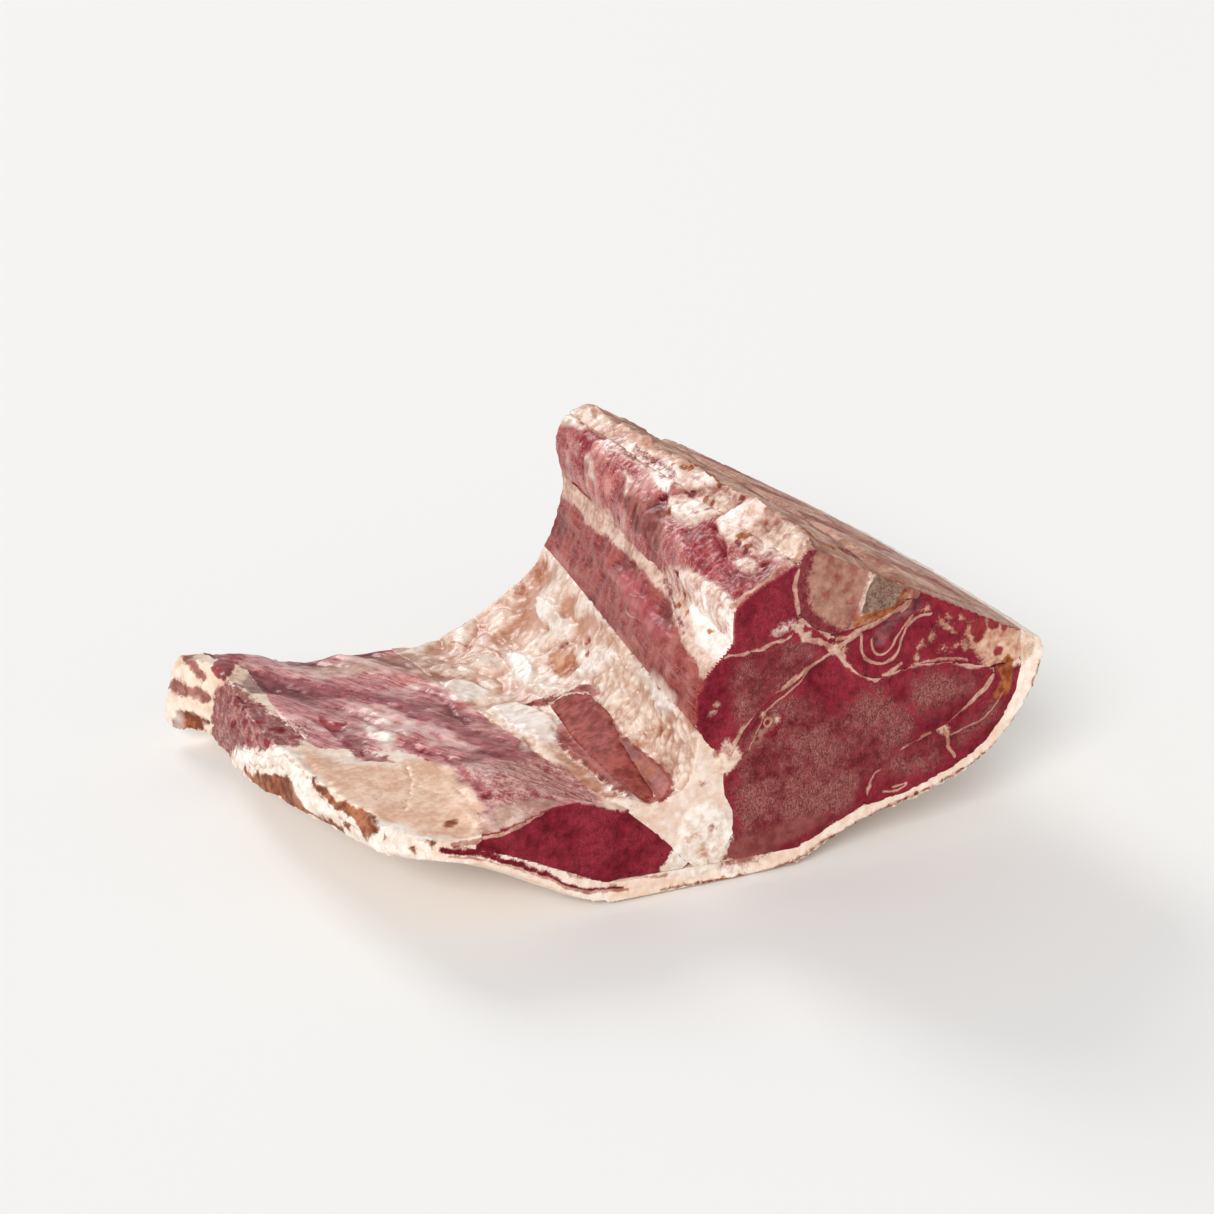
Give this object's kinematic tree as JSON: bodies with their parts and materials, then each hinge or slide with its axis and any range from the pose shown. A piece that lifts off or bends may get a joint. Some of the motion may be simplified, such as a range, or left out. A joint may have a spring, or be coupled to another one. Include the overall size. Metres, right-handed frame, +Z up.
{
  "type": "raw bone-in lamb short loin half",
  "caption": "Raw lamb short loin half, sawn along the spine, with loin eye, tenderloin, chine bone, fat cover and a flank flap that tapers to a torn tip.",
  "frame": {"origin": "on the table plane, under the middle of the part's box", "axes": "+X from the flap's free edge to the sawn face with its outer fat, +Y along the spine from the chump cut to the rib cut, +Z up"},
  "size_m": [0.1854, 0.135, 0.0821],
  "materials": {
    "sawn_bone": "matte, sawn, damp",
    "eye_meat": "raw, damp, fine cut grain",
    "chine_meat": "raw, damp",
    "rump_meat": "raw, damp",
    "fillet_meat": "raw, wet membrane",
    "flank_meat": "raw, wet membrane",
    "outer_fat": "waxy, dried at the edges",
    "inner_fat": "waxy, moist, lumpy"
  },
  "bodies": {
    "root": {"chine_bone": "sawn_bone", "chine_muscle": "chine_meat", "eye_muscle": "eye_meat", "flank_muscle": "flank_meat", "inner_fat": "inner_fat", "outer_fat": "outer_fat", "root_muscle": "flank_meat", "rump_muscle": "rump_meat", "small_fillet": "fillet_meat", "tenderloin": "fillet_meat"}
  },
  "joints": []
}
